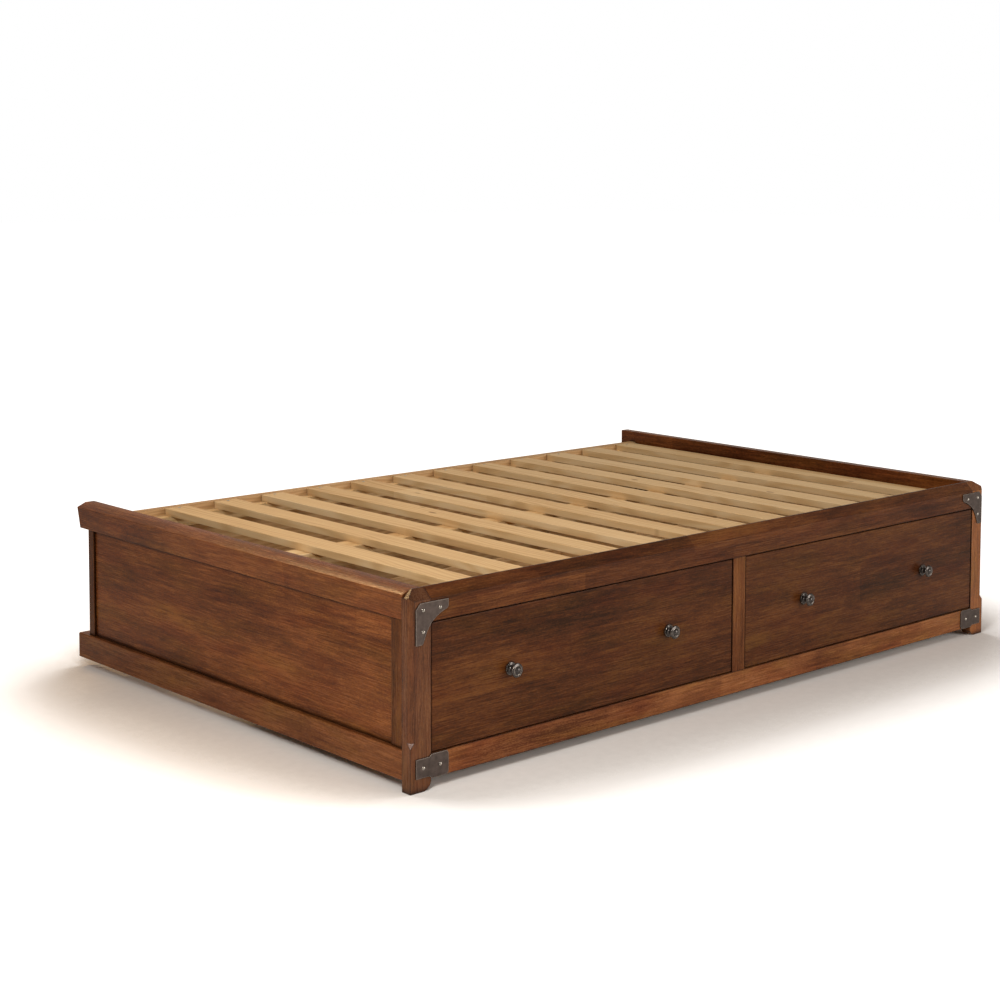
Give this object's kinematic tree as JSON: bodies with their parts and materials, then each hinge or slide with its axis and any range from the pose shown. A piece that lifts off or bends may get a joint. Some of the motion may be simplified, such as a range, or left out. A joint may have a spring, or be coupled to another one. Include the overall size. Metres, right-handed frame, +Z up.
{
  "type": "storage lounge bed base",
  "caption": "Low wooden bed base with panelled ends, a slatted mattress platform and inset storage drawers on ball-bearing slides behind a face frame with metal corner plates.",
  "frame": {"origin": "middle of the footprint, on the floor, with the knobs counted in the footprint", "axes": "+X along the length, -Y to the front where the drawers pull out, +Z up"},
  "size_m": [2.06, 1.387, 0.428],
  "materials": {
    "frame_wood": "satin cherry stain",
    "drawer_face": "satin dark cherry stain",
    "end_wood": "satin cherry stain",
    "drawer_box": "clear sealed",
    "platform_wood": "planed, unfinished",
    "pewter": "dark pewter",
    "screw_steel": "polished dome",
    "zinc_steel": "zinc plated"
  },
  "bodies": {
    "bed_frame": {"back_ledger": "platform_wood", "back_rail": "platform_wood", "bay_back_board": "platform_wood", "bottom_left_plate": "pewter", "bottom_right_plate": "pewter", "centre_beam": "platform_wood", "centre_stile": "frame_wood", "frame_dowels": "platform_wood", "front_bottom_rail": "frame_wood", "front_ledger": "platform_wood", "front_top_rail": "frame_wood", "left_back_leg": "platform_wood", "left_base_rail": "end_wood", "left_cap_rail": "end_wood", "left_centre_leg": "platform_wood", "left_end_back_stile": "end_wood", "left_end_front_stile": "end_wood", "left_end_panel": "end_wood", "left_inner_bay_board": "platform_wood", "left_outer_bay_board": "platform_wood", "left_post": "frame_wood", "middle_centre_leg": "platform_wood", "plate_screws": "screw_steel", "right_back_leg": "platform_wood", "right_base_rail": "end_wood", "right_cap_rail": "end_wood", "right_centre_leg": "platform_wood", "right_end_back_stile": "end_wood", "right_end_front_stile": "end_wood", "right_end_panel": "end_wood", "right_inner_bay_board": "platform_wood", "right_outer_bay_board": "platform_wood", "right_post": "frame_wood", "slats": "platform_wood", "slide_outer_members": "zinc_steel", "top_left_plate": "pewter", "top_right_plate": "pewter"},
    "left_drawer": {"left_drawer_box_back": "drawer_box", "left_drawer_box_front": "drawer_box", "left_drawer_floor": "drawer_box", "left_drawer_front": "drawer_face", "left_drawer_inner_knob": "pewter", "left_drawer_inner_side": "drawer_box", "left_drawer_knob_screws": "zinc_steel", "left_drawer_outer_knob": "pewter", "left_drawer_outer_side": "drawer_box", "left_drawer_slide_members": "zinc_steel"},
    "right_drawer": {"right_drawer_box_back": "drawer_box", "right_drawer_box_front": "drawer_box", "right_drawer_floor": "drawer_box", "right_drawer_front": "drawer_face", "right_drawer_inner_knob": "pewter", "right_drawer_inner_side": "drawer_box", "right_drawer_knob_screws": "zinc_steel", "right_drawer_outer_knob": "pewter", "right_drawer_outer_side": "drawer_box", "right_drawer_slide_members": "zinc_steel"},
    "left_slide_middle": {"left_slide_middle_members": "zinc_steel"},
    "right_slide_middle": {"right_slide_middle_members": "zinc_steel"}
  },
  "joints": [
    {"name": "left_drawer_slide", "type": "slide", "parent": "bed_frame", "child": "left_drawer", "axis": [0, -1, 0], "range_m": [0, 0.5]},
    {"name": "left_middle_slide", "type": "slide", "parent": "bed_frame", "child": "left_slide_middle", "axis": [0, -1, 0], "range_m": [0, 0.25]},
    {"name": "right_drawer_slide", "type": "slide", "parent": "bed_frame", "child": "right_drawer", "axis": [0, -1, 0], "range_m": [0, 0.5]},
    {"name": "right_middle_slide", "type": "slide", "parent": "bed_frame", "child": "right_slide_middle", "axis": [0, -1, 0], "range_m": [0, 0.25]}
  ],
  "couplings": [
    {"joint": "left_middle_slide", "follows": "left_drawer_slide", "ratio": 0.5},
    {"joint": "right_middle_slide", "follows": "right_drawer_slide", "ratio": 0.5}
  ]
}
